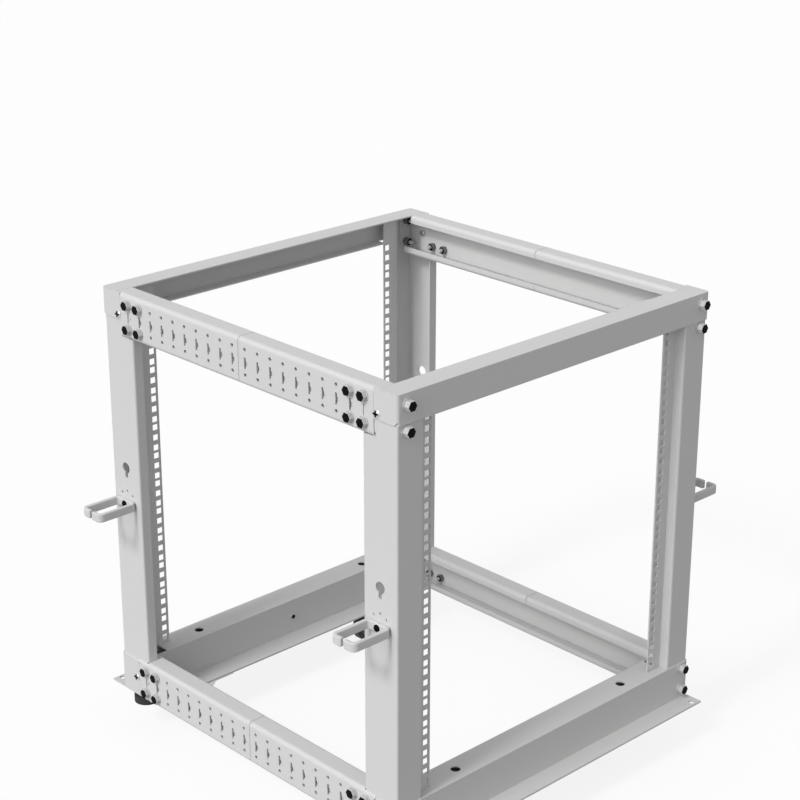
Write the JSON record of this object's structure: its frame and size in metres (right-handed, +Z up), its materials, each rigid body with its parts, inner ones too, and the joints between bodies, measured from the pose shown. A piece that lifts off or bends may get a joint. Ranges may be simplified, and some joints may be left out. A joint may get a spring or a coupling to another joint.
{
  "type": "four post open frame equipment rack",
  "caption": "Light grey four post open frame rack with square holed posts, slotted side beams in two telescoping halves, cable rings and swivel casters.",
  "frame": {"origin": "middle of the footprint on the floor", "axes": "+Z up, +Y from the front posts to the rear posts, +X to the right seen from the front"},
  "size_m": [0.728, 0.662, 0.7009],
  "materials": {
    "grey_paint": "powder coat",
    "zinc_steel": "zinc plated",
    "wheel_rubber": "matt",
    "foot_rubber": "matt"
  },
  "bodies": {
    "rack": {"post_front_left": "grey_paint", "post_front_right": "grey_paint", "post_rear_left": "grey_paint", "post_rear_right": "grey_paint", "top_beam_front": "grey_paint", "base_beam_front": "grey_paint", "base_plate_front": "grey_paint", "top_beam_rear": "grey_paint", "base_beam_rear": "grey_paint", "base_plate_rear": "grey_paint", "side_beam_upper_left_front": "grey_paint", "side_beam_upper_left_rear": "grey_paint", "side_bar_upper_left": "grey_paint", "side_beam_upper_right_front": "grey_paint", "side_beam_upper_right_rear": "grey_paint", "side_bar_upper_right": "grey_paint", "side_beam_lower_left_front": "grey_paint", "side_beam_lower_left_rear": "grey_paint", "side_bar_lower_left": "grey_paint", "side_beam_lower_right_front": "grey_paint", "side_beam_lower_right_rear": "grey_paint", "side_bar_lower_right": "grey_paint", "cable_ring_front_left": "grey_paint", "caster_plate_front_left": "zinc_steel", "levelling_foot_front_left": "foot_rubber", "cable_ring_front_right": "grey_paint", "caster_plate_front_right": "zinc_steel", "levelling_foot_front_right": "foot_rubber", "cable_ring_rear_left": "grey_paint", "caster_plate_rear_left": "zinc_steel", "levelling_foot_rear_left": "foot_rubber", "cable_ring_rear_right": "grey_paint", "caster_plate_rear_right": "zinc_steel", "levelling_foot_rear_right": "foot_rubber"},
    "fork_front_left": {"caster_fork_front_left": "zinc_steel"},
    "wheel_front_left": {"caster_wheel_front_left": "wheel_rubber"},
    "fork_front_right": {"caster_fork_front_right": "zinc_steel"},
    "wheel_front_right": {"caster_wheel_front_right": "wheel_rubber"},
    "fork_rear_left": {"caster_fork_rear_left": "zinc_steel"},
    "wheel_rear_left": {"caster_wheel_rear_left": "wheel_rubber"},
    "fork_rear_right": {"caster_fork_rear_right": "zinc_steel"},
    "wheel_rear_right": {"caster_wheel_rear_right": "wheel_rubber"}
  },
  "joints": [
    {"name": "swivel_front_left", "type": "hinge", "parent": "rack", "child": "fork_front_left", "pos_m": [-0.18, -0.253, 0.0577], "axis": [0, 0, 1], "continuous": true},
    {"name": "roll_front_left", "type": "hinge", "parent": "fork_front_left", "child": "wheel_front_left", "pos_m": [-0.204, -0.253, 0.025], "axis": [0, 1, 0], "continuous": true},
    {"name": "swivel_front_right", "type": "hinge", "parent": "rack", "child": "fork_front_right", "pos_m": [0.18, -0.253, 0.0577], "axis": [0, 0, 1], "continuous": true},
    {"name": "roll_front_right", "type": "hinge", "parent": "fork_front_right", "child": "wheel_front_right", "pos_m": [0.156, -0.253, 0.025], "axis": [0, 1, 0], "continuous": true},
    {"name": "swivel_rear_left", "type": "hinge", "parent": "rack", "child": "fork_rear_left", "pos_m": [-0.18, 0.253, 0.0577], "axis": [0, 0, 1], "continuous": true},
    {"name": "roll_rear_left", "type": "hinge", "parent": "fork_rear_left", "child": "wheel_rear_left", "pos_m": [-0.204, 0.253, 0.025], "axis": [0, 1, 0], "continuous": true},
    {"name": "swivel_rear_right", "type": "hinge", "parent": "rack", "child": "fork_rear_right", "pos_m": [0.18, 0.253, 0.0577], "axis": [0, 0, 1], "continuous": true},
    {"name": "roll_rear_right", "type": "hinge", "parent": "fork_rear_right", "child": "wheel_rear_right", "pos_m": [0.156, 0.253, 0.025], "axis": [0, 1, 0], "continuous": true}
  ]
}
